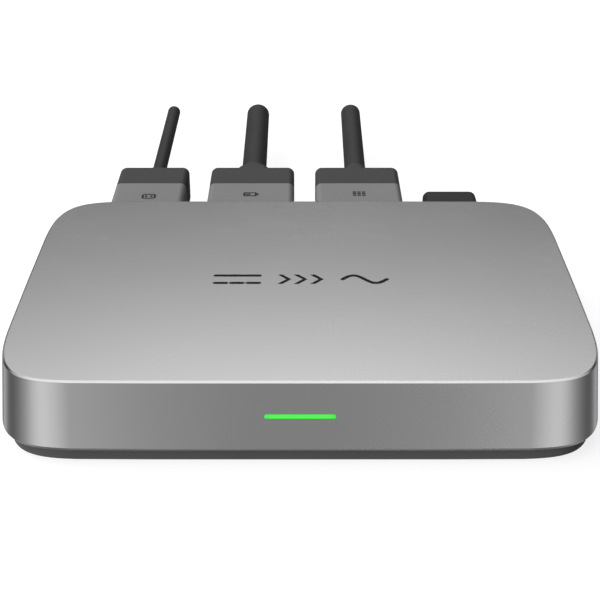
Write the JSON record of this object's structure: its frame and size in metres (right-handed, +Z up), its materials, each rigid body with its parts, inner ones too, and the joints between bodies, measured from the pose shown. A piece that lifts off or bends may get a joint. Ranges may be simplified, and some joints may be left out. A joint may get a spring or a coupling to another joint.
{
  "type": "micro inverter",
  "caption": "Flat satin metal power inverter with rounded corners, a dark base, a front status light, locking plugs with cable stubs and a radio cover at the back.",
  "frame": {"origin": "centre of the case's flat underside, where it rests", "axes": "+Z up through the case, +Y towards the back where the cables leave, +X to the right when facing the status light on the -Y side"},
  "size_m": [0.2476, 0.3422, 0.0368],
  "materials": {
    "shell_satin_metal": "satin anodised",
    "base_dark_metal": "fine matt powder coat",
    "seal_rubber": "matt",
    "screw_steel": "zinc plated",
    "vent_black_plastic": "matt moulded",
    "light_guide_green": "translucent, lit from behind",
    "circuit_board": "solder mask",
    "led_package": "moulded",
    "panel_black_plastic": "matt moulded",
    "socket_plastic": "glass-filled, matt",
    "contact_metal": "plated",
    "antenna_black_plastic": "fine texture",
    "lead_jacket": "matt",
    "shield_can": "tinned",
    "capacitor_sleeve": "shrunk sleeve",
    "film_capacitor_case": "moulded",
    "ferrite": "matt sintered",
    "choke_powder_core": "epoxy coated",
    "copper_wire": "enamelled",
    "relay_case": "moulded",
    "transistor_epoxy": "moulded",
    "clamp_metal": "extruded",
    "potting_compound": "cast",
    "plug_dark_plastic": "fine texture",
    "plug_grey_plastic": "satin moulded",
    "boot_dark_rubber": "matt overmoulded",
    "cable_jacket": "matt",
    "core_insulation": "satin",
    "pin_steel": "bright"
  },
  "bodies": {
    "case": {"top_shell": "shell_satin_metal", "base_plate": "base_dark_metal", "case_gasket": "seal_rubber", "base_screws": "screw_steel", "vent_plug": "vent_black_plastic", "light_guide": "light_guide_green", "led_board": "circuit_board", "status_leds": "led_package", "port_panel": "panel_black_plastic", "port_panel_gasket": "seal_rubber", "grid_socket": "socket_plastic", "battery_socket": "socket_plastic", "solar_socket": "socket_plastic", "grid_socket_pins": "contact_metal", "battery_socket_pins": "contact_metal", "solar_socket_pins": "contact_metal", "antenna_cover": "antenna_black_plastic", "antenna_board": "circuit_board", "antenna_lead": "lead_jacket", "main_board": "circuit_board", "board_screws": "screw_steel", "control_board": "circuit_board", "wireless_module": "shield_can", "dc_capacitors": "capacitor_sleeve", "film_capacitors": "film_capacitor_case", "transformer_cores": "ferrite", "transformer_windings": "copper_wire", "choke_cores": "choke_powder_core", "choke_windings": "copper_wire", "relays": "relay_case", "power_transistors": "transistor_epoxy", "transistor_clamps": "clamp_metal", "thermal_potting": "potting_compound"},
    "grid_plug": {"grid_plug_housing": "plug_dark_plastic", "grid_plug_cover": "plug_grey_plastic", "grid_plug_boot": "boot_dark_rubber", "grid_plug_contacts": "contact_metal", "grid_plug_seal": "seal_rubber", "grid_cable_jacket": "cable_jacket", "grid_cable_cores": "core_insulation", "grid_latch_pin": "pin_steel"},
    "grid_release": {"grid_latch": "plug_dark_plastic"},
    "battery_plug": {"battery_plug_housing": "plug_dark_plastic", "battery_plug_cover": "plug_grey_plastic", "battery_plug_boot": "boot_dark_rubber", "battery_plug_contacts": "contact_metal", "battery_plug_seal": "seal_rubber", "battery_cable_jacket": "cable_jacket", "battery_cable_cores": "core_insulation", "battery_latch_pin": "pin_steel"},
    "battery_release": {"battery_latch": "plug_dark_plastic"},
    "solar_plug": {"solar_plug_housing": "plug_dark_plastic", "solar_plug_cover": "plug_grey_plastic", "solar_plug_boot": "boot_dark_rubber", "solar_plug_contacts": "contact_metal", "solar_plug_seal": "seal_rubber", "solar_cable_jacket": "cable_jacket", "solar_cable_cores": "core_insulation", "solar_latch_pin": "pin_steel"},
    "solar_release": {"solar_latch": "plug_dark_plastic"}
  },
  "joints": [
    {"name": "grid_plug_slide", "type": "slide", "parent": "case", "child": "grid_plug", "axis": [0, 1, 0], "range_m": [0, 0.03]},
    {"name": "grid_latch_press", "type": "hinge", "parent": "grid_plug", "child": "grid_release", "pos_m": [-0.079, 0.0915, 0.0138], "axis": [1, 0, 0], "range_deg": [0, 3.5], "stiffness_Nm_per_rad": 0.05},
    {"name": "battery_plug_slide", "type": "slide", "parent": "case", "child": "battery_plug", "axis": [0, 1, 0], "range_m": [0, 0.03]},
    {"name": "battery_latch_press", "type": "hinge", "parent": "battery_plug", "child": "battery_release", "pos_m": [-0.0257, 0.0915, 0.0138], "axis": [1, 0, 0], "range_deg": [0, 3.5], "stiffness_Nm_per_rad": 0.05},
    {"name": "solar_plug_slide", "type": "slide", "parent": "case", "child": "solar_plug", "axis": [0, 1, 0], "range_m": [0, 0.03]},
    {"name": "solar_latch_press", "type": "hinge", "parent": "solar_plug", "child": "solar_release", "pos_m": [0.0307, 0.0915, 0.0138], "axis": [1, 0, 0], "range_deg": [0, 3.5], "stiffness_Nm_per_rad": 0.05}
  ]
}
